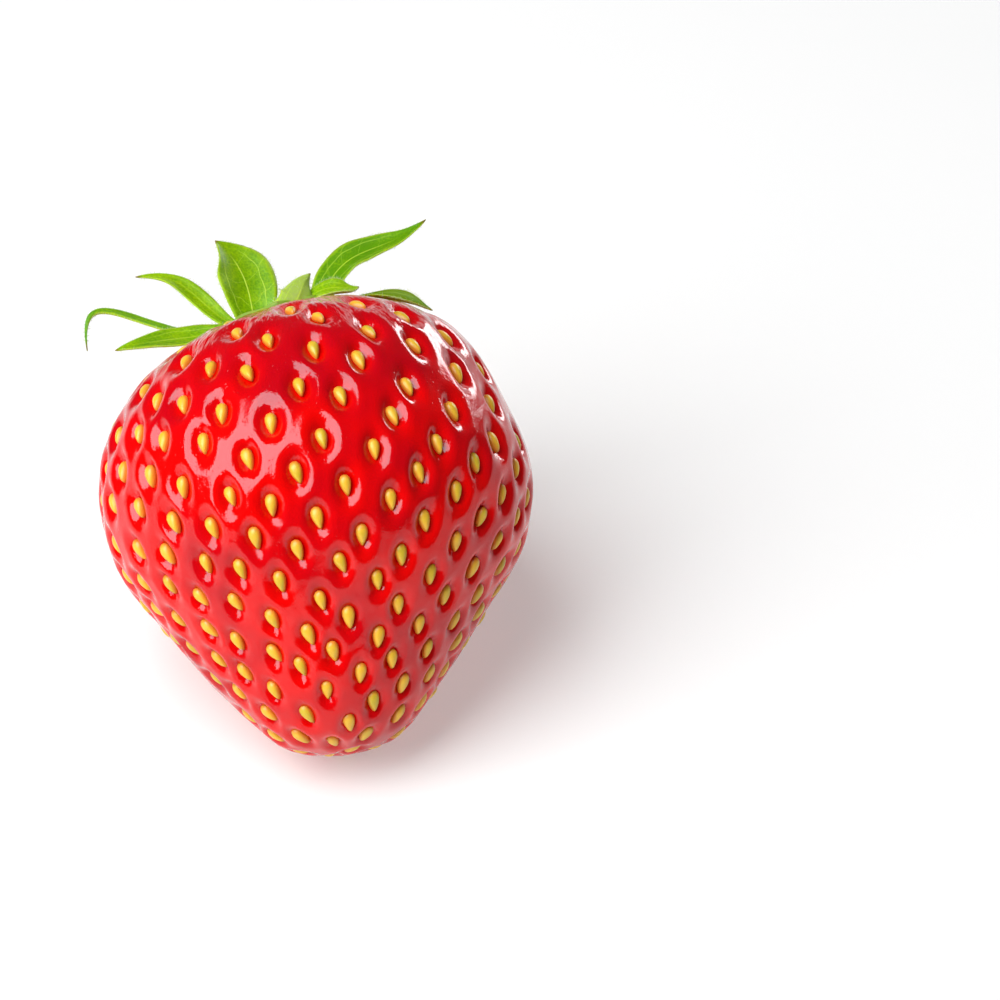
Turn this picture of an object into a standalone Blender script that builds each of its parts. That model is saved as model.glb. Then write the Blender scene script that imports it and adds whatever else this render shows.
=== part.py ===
"""A ripe strawberry, as picked, lying on its flank.

Two solids: the fruit, whose skin is pressed in round each of its seeds, and the calyx, a thin disc in the
hollow at the fruit's top with its sepals and the stub of the stalk.

Both are drawn upright in the fruit's own frame, in millimetres: tip at the origin, axis along +Z, the side
that faces up once the fruit lies down along -Y. An empty then lays them down.
"""

import math
import random

import bmesh
import bpy
import numpy as np
from mathutils import Matrix, Vector

MM = 0.001

# Body: half of its outline, from the tip to the hollow under the calyx, as (height, radius).
OUTLINE = (
    (0.0, 0.0), (0.3, 2.8), (1.2, 5.0), (3.5, 7.3), (7.0, 10.1), (11.6, 13.7), (16.5, 16.8), (21.5, 18.0),
    (26.6, 17.1), (30.6, 15.5), (33.6, 13.0), (35.6, 10.0), (36.6, 7.2), (36.3, 3.8), (35.7, 0.0),
)
DEPTH = 0.96                # thickness from front to back, as a share of the width
TOP_SLOPE = 0.15            # the top rises this much for each millimetre towards +X
TOP_SHIFT = -1.45           # and stands this far to the side of the tip
SHOULDER = (20.0, 35.0)     # heights between which slope and shift set in

# Lying down: the axis rises from the tip at the angle at which the fruit balances on its flank.
RAISED = math.radians(35.0)
FLAT_DEPTH = 0.35           # how far the weight presses the flank flat

# Seeds: the skin that one seed has to itself, in square millimetres, along the way from tip to top.
SEED_AREA = ((0.0, 8.5), (0.15, 8.5), (0.35, 10.5), (0.5, 14.0), (0.7, 17.0), (0.86, 19.0))
FULL_PIT_AREA = 12.5        # pits are full size where a seed has this much skin, and scale from there
GOLDEN_ANGLE = math.pi * (3.0 - math.sqrt(5.0))
SEED_TURN = math.radians(339.0)     # turns the pattern, so that the flat spot's middle is bare skin
SEED_JITTER = 0.36
JITTER_SEED = 7
SEED_LONG = 1.75
SEED_WIDE = 1.1
SEED_TALL = 0.55            # from the pit's floor
PIT_LONG = 3.2
PIT_WIDE = 2.35
PIT_DEEP = 0.45
BARE_RINGS = ((0.9, 16), (0.955, 8))    # points of the hollow under the calyx: share of the way, count

# Calyx disc: its turned outline from the stalk's end to its underside, as (radius, height). The underside
# follows the hollow in the fruit, 0.35 mm above it.
DISC = (
    (0.0, 38.7), (0.75, 38.6), (0.95, 38.3), (0.9, 37.9), (1.5, 37.5), (3.4, 37.4), (4.8, 37.6),
    (5.3, 37.4), (5.1, 37.0), (3.8, 36.65), (0.0, 36.05),
)
SEPAL_ROOT = (3.4, 37.05)    # radius and height at which the sepals leave the disc
SEPAL_THICK = 0.6
SEPAL_CLEAR = 0.75          # least height of a sepal's middle above the skin
SEPAL_ROWS = 10
SEPAL_COLUMNS = 4
TIP_HALF_WIDTH = 0.12
CUP = 0.3                   # how far the edges stand up, as a share of half the width
FACE_RISE = 0.7             # how far the upper faces look up, against sideways

# Sepals: the root's direction in degrees from +X, the points that the midrib passes at a third and at two
# thirds, the tip, half the blade's width, and the direction in degrees that the upper face looks to.
SEPALS = (
    (180, (-11.6, 3.0, 38.4), (-16.5, 3.5, 40.4), (-18.1, 3.5, 37.0), 0.36, 270),
    (198, (-9.0, 0.2, 36.4), (-12.5, -0.2, 36.1), (-15.8, -0.5, 35.6), 1.3, 250),
    (176, (-7.8, 1.0, 39.3), (-10.2, 1.2, 41.8), (-13.6, 1.0, 42.4), 0.85, 260),
    (137, (-4.2, 2.4, 40.9), (-5.1, 2.7, 43.6), (-6.6, 2.4, 45.6), 2.5, 280),
    (245, (-0.8, -4.6, 37.3), (-0.1, -4.6, 38.4), (0.9, -3.9, 40.0), 1.4, 80),
    (38, (4.1, 3.6, 42.8), (7.4, 3.9, 44.4), (11.6, 3.5, 46.5), 1.75, 250),
    (290, (1.9, -4.5, 38.2), (3.4, -4.8, 38.1), (5.1, -4.6, 37.6), 1.0, 250),
    (335, (6.6, -2.6, 37.7), (8.9, -3.2, 37.1), (10.8, -3.5, 36.1), 0.9, 220),
    (8, (4.4, 1.9, 38.1), (7.2, 4.4, 38.0), (9.6, 6.8, 36.6), 1.2, 188),
    (66, (2.2, 6.0, 38.4), (3.8, 9.6, 38.6), (5.4, 12.8, 37.2), 1.9, 246),
    (100, (-1.6, 6.4, 38.2), (-2.2, 10.2, 38.2), (-2.6, 13.4, 36.2), 2.1, 280),
    (130, (-4.6, 5.6, 38.2), (-7.2, 8.6, 38.4), (-9.4, 11.0, 37.0), 1.9, 310),
)


def along_outline():
    """The body's outline as a smooth curve: heights and radii at even steps of its length."""
    points = [Vector(p) for p in OUTLINE]
    before = Vector((points[1].x, -points[1].y))
    after = Vector((points[-2].x, -points[-2].y))
    points = [before, *points, after]
    curve = []
    for a, b, c, d in zip(points, points[1:], points[2:], points[3:]):
        for step in range(40):
            t = step / 40
            curve.append(0.5 * (2 * b + (c - a) * t + (2 * a - 5 * b + 4 * c - d) * t ** 2
                                + (3 * b - a - 3 * c + d) * t ** 3))
    curve.append(points[-2])
    heights, radii = np.array([tuple(p) for p in curve]).T
    travelled = np.concatenate(([0.0], np.cumsum(np.hypot(np.diff(heights), np.diff(radii)))))
    even = np.linspace(0.0, travelled[-1], 2001)
    return np.interp(even, travelled, heights), np.interp(even, travelled, radii), travelled[-1]


HEIGHTS, RADII, OUTLINE_LENGTH = along_outline()
SHARES = np.linspace(0.0, 1.0, len(HEIGHTS))


def direction_at(share, turn):
    """Unit vectors for a share of the way from tip to top and an angle about the axis."""
    polar = math.pi * share
    return np.stack((np.sin(polar) * np.cos(turn), np.sin(polar) * np.sin(turn),
                     -np.cos(polar) * np.ones_like(turn)), axis=-1)


def skin(directions):
    """Points on the smooth skin, one for each unit vector: -Z is the tip, +Z the middle of the top."""
    x, y, z = directions.T
    share = np.arccos(np.clip(-z, -1.0, 1.0)) / math.pi
    turn = np.arctan2(y, x)
    height = np.interp(share, SHARES, HEIGHTS)
    radius = np.interp(share, SHARES, RADII)
    low, high = SHOULDER
    top = np.clip((height - low) / (high - low), 0.0, 1.0)
    top = top * top * (3.0 - 2.0 * top)
    across = radius * np.cos(turn)
    return np.stack((across + TOP_SHIFT * top, DEPTH * radius * np.sin(turn),
                     height + TOP_SLOPE * across * top), axis=1)


def tangents(directions):
    """Two unit vectors for each direction: one round the axis, one along the way to the top."""
    around = np.cross((0.0, 0.0, 1.0), directions)
    around[np.linalg.norm(around, axis=1) < 1e-6] = (0.0, 1.0, 0.0)
    around /= np.linalg.norm(around, axis=1, keepdims=True)
    return around, np.cross(directions, around)


def skin_normals(directions, step=1e-3):
    around, upward = tangents(directions)

    def slope(tangent):
        ahead = directions + step * tangent
        behind = directions - step * tangent
        ahead /= np.linalg.norm(ahead, axis=1, keepdims=True)
        behind /= np.linalg.norm(behind, axis=1, keepdims=True)
        return skin(ahead) - skin(behind)

    normals = np.cross(slope(around), slope(upward))
    return normals / np.linalg.norm(normals, axis=1, keepdims=True)


def seed_sites():
    """Directions of the seeds, in a golden-angle spiral that is denser at the tip, and each seed's area."""
    limits, areas = zip(*SEED_AREA)
    share = np.linspace(0.0, limits[-1], 2000)
    area = np.interp(share, limits, areas)
    ring = 2.0 * math.pi * DEPTH * np.interp(share, SHARES, RADII) * OUTLINE_LENGTH
    counted = np.concatenate(([0.0], np.cumsum((ring / area)[1:] * np.diff(share))))
    count = int(counted[-1])
    place = np.interp(np.arange(count) + 0.5, counted, share)
    sites = direction_at(place, SEED_TURN + GOLDEN_ANGLE * np.arange(count))
    return sites, np.interp(place, limits, areas)


def beside(site, across, along):
    """The direction that lies across and along from a seed's, both in millimetres on the skin."""
    polar = math.acos(max(-1.0, min(1.0, -site[2])))
    radius = float(np.interp(polar / math.pi, SHARES, RADII))
    around, upward = tangents(site[None])
    moved = (site + around[0] * (across * math.sin(polar) / max(radius, 0.5))
             + upward[0] * (along * math.pi / OUTLINE_LENGTH))
    return moved / np.linalg.norm(moved)


def drop_outline(count, long, wide):
    """A drop's outline as (across, along) points: pointed towards the tip, round towards the top."""
    for step in range(count):
        t = 2.0 * math.pi * step / count
        yield 0.5 * wide * math.sin(t) * (1.0 - 0.25 * math.cos(t)), -0.5 * long * math.cos(t)


def pit_rings(area):
    """One pit with its seed: (across, along, height above the skin) of its points."""
    scale = (area / FULL_PIT_AREA) ** 0.5
    reach = min(scale, 1.0)
    deep = PIT_DEEP * reach
    yield 0.0, 0.0, SEED_TALL - deep
    for across, along in drop_outline(5, 0.62 * SEED_LONG, 0.62 * SEED_WIDE):
        yield across, along, 0.75 * SEED_TALL - deep
    for across, along in drop_outline(6, SEED_LONG, SEED_WIDE):
        yield across, along, -deep
    for step in range(6):
        t = math.pi * (step + 0.5) / 3.0
        yield 0.5 * PIT_WIDE * scale * math.sin(t), -0.5 * PIT_LONG * scale * math.cos(t), 0.0


def laid_down():
    """Matrix from the fruit's frame, in metres, to the world: the flat spot's middle is the origin."""
    turned = Matrix.Rotation(RAISED - math.pi / 2.0, 4, "X")
    underside = skin(direction_at(SHARES, 0.5 * math.pi * np.ones_like(SHARES)))
    lowest = min((turned @ Vector(point) for point in underside), key=lambda point: point.z)
    lift = Vector((0.0, -lowest.y, -lowest.z - FLAT_DEPTH))
    return Matrix.Translation(lift * MM) @ turned


def pressed_flat(point, laid):
    """The point, in millimetres, or the place above it on the surface that the fruit lies on."""
    world = laid @ (point * MM)
    world.z = max(world.z, 0.0)
    return laid.inverted() @ world / MM


def new_object(name, mesh, collection):
    piece = bpy.data.objects.new(name, mesh)
    collection.objects.link(piece)
    return piece


def build_fruit(collection, laid):
    """The body with every pit and seed: points spread on a ball and wrapped, then moved to the skin."""
    jitter = random.Random(JITTER_SEED)
    directions = [(0.0, 0.0, 1.0)]
    rises = [0.0]
    sites, areas = seed_sites()
    for site, area in zip(sites, areas):
        slide = SEED_JITTER * (area / FULL_PIT_AREA) ** 0.5
        centre = beside(site, jitter.uniform(-slide, slide), jitter.uniform(-slide, slide))
        for across, along, rise in pit_rings(area):
            directions.append(beside(centre, across, along))
            rises.append(rise)
    for share, count in BARE_RINGS:
        directions.extend(direction_at(share, 2.0 * math.pi * np.arange(count) / count))
        rises.extend([0.0] * count)
    directions = np.array(directions)
    places = skin(directions) + skin_normals(directions) * np.array(rises)[:, None]

    shape = bmesh.new()
    for direction in directions:
        shape.verts.new(direction)
    bmesh.ops.convex_hull(shape, input=shape.verts[:], use_existing_faces=False)
    shape.verts.ensure_lookup_table()
    for vert, place in zip(shape.verts, places):
        vert.co = pressed_flat(Vector(place), laid) * MM
    bmesh.ops.recalc_face_normals(shape, faces=shape.faces[:])
    mesh = bpy.data.meshes.new("fruit")
    shape.to_mesh(mesh)
    shape.free()
    mesh.shade_smooth()
    mesh.set_sharp_from_angle(angle=math.radians(35))
    return new_object("fruit", mesh, collection)


def on_top(point):
    """A point of the upright calyx, moved as the fruit's top is: to the side and onto its slope."""
    x, y, z = point
    return Vector((x + TOP_SHIFT, DEPTH * y, z + TOP_SLOPE * x))


def build_disc(collection):
    """The disc and the stalk's stub, turned about the axis and set on the sloping top."""
    mesh = bpy.data.meshes.new("calyx")
    points = [(radius * MM, 0.0, height * MM) for radius, height in DISC]
    mesh.from_pydata(points, [(i, i + 1) for i in range(len(points) - 1)], [])
    disc = new_object("calyx", mesh, collection)
    turned = disc.modifiers.new("turned", "SCREW")
    turned.steps = 24
    turned.render_steps = 24
    turned.use_merge_vertices = True
    turned.merge_threshold = 0.00001
    bpy.context.view_layer.update()
    mesh = bpy.data.meshes.new_from_object(disc.evaluated_get(bpy.context.evaluated_depsgraph_get()))
    for vert in mesh.vertices:
        vert.co = on_top(vert.co / MM) * MM
    disc.modifiers.remove(turned)
    disc.data = mesh
    mesh.name = "calyx"
    return disc


def top_height(point):
    """Height of the smooth skin of the fruit's top, below or above a point."""
    across = point.x - TOP_SHIFT
    widest = int(RADII.argmax())
    radius = math.hypot(across, point.y / DEPTH)
    return float(np.interp(radius, RADII[:widest:-1], HEIGHTS[:widest:-1])) + TOP_SLOPE * across


def blade_width(t):
    """Half a sepal's width at share t of its length, as a share of its greatest: ovate, with a long tip."""
    return 0.42 * (1.0 - t) + 0.8 * math.sin(math.pi * t)


def midrib(points, t):
    """Place and direction at share t of the smooth curve that passes four points at even shares."""
    start, third, two_thirds, end = points
    second = (18.0 * third - 5.0 * start - 9.0 * two_thirds + 2.0 * end) / 6.0
    fourth = (18.0 * two_thirds - 5.0 * end - 9.0 * third + 2.0 * start) / 6.0
    s = 1.0 - t
    place = s ** 3 * start + 3.0 * s * s * t * second + 3.0 * s * t * t * fourth + t ** 3 * end
    ahead = s * s * (second - start) + 2.0 * s * t * (fourth - second) + t * t * (end - fourth)
    return place, ahead.normalized()


def build_sepal(number, values, collection):
    """One sepal: a grid carried along a curved midrib, cupped towards its upper face, then thickened."""
    root_turn, third, two_thirds, tip, half_width, facing = values
    radius, height = SEPAL_ROOT
    root_turn = math.radians(root_turn)
    facing = math.radians(facing)
    root = on_top((radius * math.cos(root_turn), radius * math.sin(root_turn), height))
    points = (root, Vector(third), Vector(two_thirds), Vector(tip))
    upper = Vector((math.cos(facing), math.sin(facing), FACE_RISE))
    shape = bmesh.new()
    bmesh.ops.create_grid(shape, x_segments=SEPAL_ROWS, y_segments=SEPAL_COLUMNS, size=0.5)
    for vert in shape.verts:
        share = vert.co.x + 0.5
        side = 2.0 * vert.co.y
        middle, ahead = midrib(points, share)
        across = ahead.cross(upper).normalized()
        face = across.cross(ahead)
        reach = half_width * blade_width(share) + TIP_HALF_WIDTH
        place = middle + across * side * reach + face * CUP * reach * side * side
        place.z = max(place.z, top_height(place) + SEPAL_CLEAR)
        vert.co = place * MM
    bmesh.ops.triangulate(shape, faces=shape.faces[:])
    mesh = bpy.data.meshes.new("sepal")
    shape.to_mesh(mesh)
    shape.free()
    sepal = new_object(f"sepal_{number}", mesh, collection)
    thick = sepal.modifiers.new("thick", "SOLIDIFY")
    thick.thickness = SEPAL_THICK * MM
    thick.offset = 0.0
    return sepal


def build_calyx(collection):
    """Disc, stub and sepals joined in one solid."""
    disc = build_disc(collection)
    sepals = bpy.data.collections.new("sepals")
    bpy.context.scene.collection.children.link(sepals)
    for number, values in enumerate(SEPALS):
        build_sepal(number, values, sepals)
    joined = disc.modifiers.new("joined", "BOOLEAN")
    joined.operation = "UNION"
    joined.operand_type = "COLLECTION"
    joined.collection = sepals
    joined.solver = "MANIFOLD"      # EXACT leaves open edges where the sepals cross in the disc
    bpy.context.view_layer.update()
    mesh = bpy.data.meshes.new_from_object(disc.evaluated_get(bpy.context.evaluated_depsgraph_get()))
    disc.modifiers.remove(joined)
    disc.data = mesh
    mesh.name = "calyx"
    for sepal in list(sepals.objects):
        bpy.data.objects.remove(sepal)
    bpy.data.collections.remove(sepals)
    mesh.shade_smooth()
    mesh.set_sharp_from_angle(angle=math.radians(50))
    return disc


def paint(piece, name, colour, roughness):
    material = bpy.data.materials.new(name)
    material.use_nodes = True
    shader = material.node_tree.nodes["Principled BSDF"]
    shader.inputs["Base Color"].default_value = (*colour, 1.0)
    shader.inputs["Roughness"].default_value = roughness
    shader.inputs["Metallic"].default_value = 0.0
    piece.data.materials.clear()
    piece.data.materials.append(material)


def main():
    for old in list(bpy.data.objects):
        bpy.data.objects.remove(old)
    strawberry = bpy.data.collections.new("strawberry")
    bpy.context.scene.collection.children.link(strawberry)
    laid = laid_down()
    axis = new_object("fruit_axis", None, strawberry)
    axis.matrix_world = laid
    fruit = build_fruit(strawberry, laid)
    calyx = build_calyx(strawberry)
    for piece in (fruit, calyx):
        piece.parent = axis
    paint(fruit, "ripe_skin", (0.68, 0.012, 0.008), 0.25)
    paint(calyx, "sepal_green", (0.22, 0.42, 0.05), 0.55)
    bpy.context.view_layer.update()


main()
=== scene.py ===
"""A ripe strawberry, as picked, lying on its flank on a pale floor.

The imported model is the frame. Its body and calyx are replaced by finer pieces of the same form: the skin with
a smooth pit round each seed, the seeds (achenes), the sepals with their veins and hairs, and the calyx disc.
The shapes are worked out upright in the fruit's own frame, in millimetres: tip at the origin, axis along +Z,
the side that faces up once the fruit lies down along -Y.
"""

import math
import random

import bmesh
import bpy
import numpy as np
from bpy.props import FloatProperty, FloatVectorProperty, PointerProperty
from bpy.types import Operator, Panel, PropertyGroup
from mathutils import Matrix, Vector


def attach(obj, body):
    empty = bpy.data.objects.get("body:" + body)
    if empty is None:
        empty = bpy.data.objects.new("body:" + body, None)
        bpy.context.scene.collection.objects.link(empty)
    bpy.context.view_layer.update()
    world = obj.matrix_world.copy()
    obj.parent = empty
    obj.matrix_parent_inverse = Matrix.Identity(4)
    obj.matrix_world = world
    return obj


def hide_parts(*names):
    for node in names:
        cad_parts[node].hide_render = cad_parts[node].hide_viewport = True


bl_info = {
    "name": "Strawberry",
    "version": (1, 0, 0),
    "blender": (4, 5, 0),
    "location": "View3D > Sidebar > Strawberry",
    "description": "Dresses a strawberry's solid model with its skin, seeds, sepals and studio light",
    "category": "Object",
}

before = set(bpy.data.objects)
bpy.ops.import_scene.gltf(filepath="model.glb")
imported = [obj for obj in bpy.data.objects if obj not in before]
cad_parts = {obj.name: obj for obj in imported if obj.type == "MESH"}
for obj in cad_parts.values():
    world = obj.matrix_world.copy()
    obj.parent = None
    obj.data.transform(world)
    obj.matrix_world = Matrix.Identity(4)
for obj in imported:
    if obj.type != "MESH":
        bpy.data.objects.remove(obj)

MM = 0.001

# The body's outline, from the tip to the hollow under the calyx, as (height, radius): as in the solid model.
OUTLINE = (
    (0.0, 0.0), (0.3, 2.8), (1.2, 5.0), (3.5, 7.3), (7.0, 10.1), (11.6, 13.7), (16.5, 16.8), (21.5, 18.0),
    (26.6, 17.1), (30.6, 15.5), (33.6, 13.0), (35.6, 10.0), (36.6, 7.2), (36.3, 3.8), (35.7, 0.0),
)
DEPTH = 0.96                # thickness from front to back, as a share of the width
TOP_SLOPE = 0.15            # the top rises this much for each millimetre towards +X
TOP_SHIFT = -1.45           # and stands this far to the side of the tip
SHOULDER = (20.0, 35.0)     # heights between which slope and shift set in
BEND_STEPS = 40             # points on the smooth curve for each one of the outline
OUTLINE_STEPS = 2000        # even steps along it, from which heights and radii are read
RAISED = math.radians(35.0)     # how far the axis rises from the tip as the fruit lies
FLAT_DEPTH = 0.35           # how far the weight presses the flank flat

# Seeds: the skin that one seed has to itself, in square millimetres, along the way from tip to top.
SEED_AREA = ((0.0, 8.5), (0.15, 8.5), (0.35, 10.5), (0.5, 14.0), (0.7, 17.0), (0.86, 19.0))
FULL_PIT_AREA = 12.5        # pits are full size where a seed has this much skin, and scale from there
GOLDEN_ANGLE = math.pi * (3.0 - math.sqrt(5.0))
SEED_TURN = math.radians(339.0)     # where round the axis the spiral starts
SEED_JITTER = 0.36          # how far a seed with a full-size pit may stray, in millimetres
JITTER_SEED = 7
PIT_LONG = 3.4              # length and width of a full-size pit, in millimetres
PIT_WIDE = 2.1

# Calyx disc: its turned outline from the stalk's end to its underside, as (radius, height).
DISC = (
    (0.0, 38.7), (0.75, 38.6), (0.95, 38.3), (0.9, 37.9), (1.5, 37.5), (3.4, 37.4), (4.8, 37.6),
    (5.3, 37.4), (5.1, 37.0), (3.8, 36.65), (0.0, 36.05),
)
SEPAL_ROOT = (3.4, 37.05)    # radius and height at which the sepals leave the disc
SEPAL_CLEAR = 0.45          # least height of a sepal's middle above the skin
TIP_HALF_WIDTH = 0.05
CUP = 0.3                   # how far the edges stand up, as a share of half the width
FACE_RISE = 0.7             # how far the upper faces look up, against sideways

# Sepals: the root's direction in degrees from +X, the points that the midrib passes at a third and at two
# thirds, the tip, half the blade's width, and the direction in degrees that the upper face looks to.
SEPALS = (
    (180, (-11.6, 3.0, 38.4), (-16.5, 3.5, 40.4), (-18.1, 3.5, 37.0), 0.3, 270),
    (198, (-9.0, 0.2, 36.4), (-12.5, -0.2, 36.1), (-15.8, -0.5, 35.6), 1.3, 250),
    (176, (-7.8, 1.0, 39.3), (-10.1, 1.2, 41.6), (-13.6, 1.0, 42.4), 0.85, 260),
    (137, (-4.2, 2.4, 40.9), (-5.1, 2.7, 43.6), (-6.6, 2.4, 45.6), 2.5, 280),
    (245, (-0.8, -4.6, 37.3), (-0.1, -4.6, 38.4), (0.9, -3.9, 40.0), 1.4, 80),
    (38, (4.1, 3.6, 42.8), (7.4, 3.9, 44.4), (11.6, 3.5, 46.5), 1.75, 250),
    (290, (1.9, -4.5, 38.2), (3.4, -4.8, 38.1), (4.8, -4.6, 38.3), 1.0, 250),
    (335, (6.6, -2.6, 37.7), (8.9, -3.2, 37.1), (10.8, -3.5, 36.1), 0.9, 220),
    (8, (4.4, 1.9, 38.1), (7.2, 4.4, 38.0), (9.6, 6.8, 36.6), 1.2, 188),
    (66, (2.2, 6.0, 38.4), (3.8, 9.6, 38.6), (5.4, 12.8, 37.2), 1.9, 246),
    (100, (-1.6, 6.4, 38.2), (-2.2, 10.2, 38.2), (-2.6, 13.4, 36.2), 2.1, 280),
    (130, (-4.6, 5.6, 38.2), (-7.2, 8.6, 38.4), (-9.4, 11.0, 37.0), 1.9, 310),
)
# 0 is pale, 1 deep green, and more than that begins to wither
SEPAL_TONES = (1.0, 0.7, 0.6, 0.62, 0.25, 1.0, 0.6, 1.35, 0.5, 0.4, 0.6, 0.3)


def linear(code):
    """An sRGB colour, given as a hex code, in the linear light that Blender's colours hold."""
    shares = [int(code[i:i + 2], 16) / 255.0 for i in (0, 2, 4)]
    return tuple(s / 12.92 if s <= 0.04045 else ((s + 0.055) / 1.055) ** 2.4 for s in shares)


def colour(name, code, description):
    return FloatVectorProperty(name=name, description=description, subtype="COLOR", size=3,
                               min=0.0, max=1.0, default=linear(code))


def length(name, millimetres, description):
    return FloatProperty(name=name, description=description, unit="LENGTH", subtype="DISTANCE",
                         min=0.0, precision=5, default=millimetres * MM)


# ---------------------------------------------------------------- the body's form

def along_outline():
    """The body's outline as a smooth curve: heights and radii at even steps of its length."""
    points = [Vector(p) for p in OUTLINE]
    before = Vector((points[1].x, -points[1].y))
    after = Vector((points[-2].x, -points[-2].y))
    points = [before, *points, after]
    curve = []
    for a, b, c, d in zip(points, points[1:], points[2:], points[3:]):
        for step in range(BEND_STEPS):
            t = step / BEND_STEPS
            curve.append(0.5 * (2 * b + (c - a) * t + (2 * a - 5 * b + 4 * c - d) * t ** 2
                                + (3 * b - a - 3 * c + d) * t ** 3))
    curve.append(points[-2])
    heights, radii = np.array([tuple(p) for p in curve]).T
    travelled = np.concatenate(([0.0], np.cumsum(np.hypot(np.diff(heights), np.diff(radii)))))
    even = np.linspace(0.0, travelled[-1], OUTLINE_STEPS + 1)
    return np.interp(even, travelled, heights), np.interp(even, travelled, radii), travelled[-1]


HEIGHTS, RADII, OUTLINE_LENGTH = along_outline()
SHARES = np.linspace(0.0, 1.0, len(HEIGHTS))


def smooth_step(value, low, high):
    t = np.clip((value - low) / (high - low), 0.0, 1.0)
    return t * t * (3.0 - 2.0 * t)


def way_up(directions):
    """Share of the way from tip to top of each direction."""
    return np.arccos(np.clip(-directions[:, 2], -1.0, 1.0)) / math.pi


def direction_at(share, turn):
    """Unit vectors for a share of the way from tip to top and an angle about the axis."""
    polar = math.pi * share
    return np.stack((np.sin(polar) * np.cos(turn), np.sin(polar) * np.sin(turn),
                     -np.cos(polar) * np.ones_like(turn)), axis=-1)


def smooth_skin(directions):
    """Points on the smooth skin, one for each unit vector: -Z is the tip, +Z the middle of the top."""
    share = way_up(directions)
    turn = np.arctan2(directions[:, 1], directions[:, 0])
    height = np.interp(share, SHARES, HEIGHTS)
    radius = np.interp(share, SHARES, RADII)
    top = smooth_step(height, *SHOULDER)
    across = radius * np.cos(turn)
    return np.stack((across + TOP_SHIFT * top, DEPTH * radius * np.sin(turn),
                     height + TOP_SLOPE * across * top), axis=1)


def tangents(directions):
    """Two unit vectors for each direction: one round the axis, one along the way to the top."""
    around = np.cross((0.0, 0.0, 1.0), directions)
    around[np.linalg.norm(around, axis=1) < 1e-6] = (0.0, 1.0, 0.0)
    around /= np.linalg.norm(around, axis=1, keepdims=True)
    return around, np.cross(directions, around)


def unit(vectors):
    return vectors / np.linalg.norm(vectors, axis=1, keepdims=True)


def skin_frames(directions, step=1e-3):
    """Unit vectors on the smooth skin at each direction: round the axis, towards the top, and outwards."""
    around, upward = tangents(directions)
    rounds = smooth_skin(unit(directions + step * around)) - smooth_skin(unit(directions - step * around))
    climbs = smooth_skin(unit(directions + step * upward)) - smooth_skin(unit(directions - step * upward))
    outward = unit(np.cross(rounds, climbs))
    rounds = unit(rounds)
    return rounds, np.cross(outward, rounds), outward


def beside(site, across, along):
    """The direction that lies across and along from a seed's, both in millimetres on the skin."""
    polar = math.acos(max(-1.0, min(1.0, -site[2])))
    radius = float(np.interp(polar / math.pi, SHARES, RADII))
    around, upward = tangents(site[None])
    moved = (site + around[0] * (across * math.sin(polar) / max(radius, 0.5))
             + upward[0] * (along * math.pi / OUTLINE_LENGTH))
    return moved / np.linalg.norm(moved)


def seed_sites():
    """Directions of the seeds, in a golden-angle spiral that is denser at the tip, and each seed's area."""
    limits, areas = zip(*SEED_AREA)
    share = np.linspace(0.0, limits[-1], OUTLINE_STEPS)
    area = np.interp(share, limits, areas)
    ring = 2.0 * math.pi * DEPTH * np.interp(share, SHARES, RADII) * OUTLINE_LENGTH
    counted = np.concatenate(([0.0], np.cumsum((ring / area)[1:] * np.diff(share))))
    count = int(counted[-1])
    place = np.interp(np.arange(count) + 0.5, counted, share)
    sites = direction_at(place, SEED_TURN + GOLDEN_ANGLE * np.arange(count))
    areas = np.interp(place, limits, areas)
    jitter = random.Random(JITTER_SEED)
    moved = []
    for site, area in zip(sites, areas):
        slide = SEED_JITTER * (area / FULL_PIT_AREA) ** 0.5
        moved.append(beside(site, jitter.uniform(-slide, slide), jitter.uniform(-slide, slide)))
    return np.array(moved), areas


SEEDS, SEED_AREAS = seed_sites()
PIT_SCALES = np.sqrt(SEED_AREAS / FULL_PIT_AREA)


def laid_down():
    """Matrix from the fruit's frame, in metres, to the world: the flat spot's middle is the origin."""
    turned = Matrix.Rotation(RAISED - math.pi / 2.0, 4, "X")
    underside = smooth_skin(direction_at(SHARES, 0.5 * math.pi * np.ones_like(SHARES)))
    lowest = min((turned @ Vector(point) for point in underside), key=lambda point: point.z)
    lift = Vector((0.0, -lowest.y, -lowest.z - FLAT_DEPTH))
    return Matrix.Translation(lift * MM) @ turned


LAID = laid_down()


def to_world(points):
    """Points in the fruit's frame, in millimetres, as world places in metres, none below the floor."""
    turned = np.array(LAID.to_3x3())
    places = (points * MM) @ turned.T + np.array(LAID.translation)
    places[:, 2] = np.maximum(places[:, 2], 0.0)
    return places


# ---------------------------------------------------------------- meshes and nodes

def new_object(name, data):
    item = bpy.data.objects.new(name, data)
    bpy.context.scene.collection.objects.link(item)
    return item


def new_piece(name, mesh, replaced, materials):
    """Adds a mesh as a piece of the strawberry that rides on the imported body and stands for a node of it."""
    piece = new_object(name, mesh)
    for material in materials:
        mesh.materials.append(material)
    mesh.shade_smooth()
    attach(piece, "root")
    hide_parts(replaced)


def new_mesh(name, points, faces):
    """A mesh from points in the fruit's frame, in millimetres, laid down with it."""
    mesh = bpy.data.meshes.new(name)
    mesh.from_pydata([tuple(place) for place in to_world(np.array(points))], [], faces)
    return mesh


def ring_faces(rings, turns, first_middle, last_middle):
    """Faces of stacked rings of points, with the first and the last ring closed to a middle point each."""
    faces = []
    for ring in range(rings - 1):
        for step in range(turns):
            a = ring * turns + step
            b = ring * turns + (step + 1) % turns
            faces.append((b, a, a + turns, b + turns))
    last = (rings - 1) * turns
    for step in range(turns):
        after = (step + 1) % turns
        faces.append((last + after, last + step, last_middle))
        faces.append((step, after, first_middle))
    return faces


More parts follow.
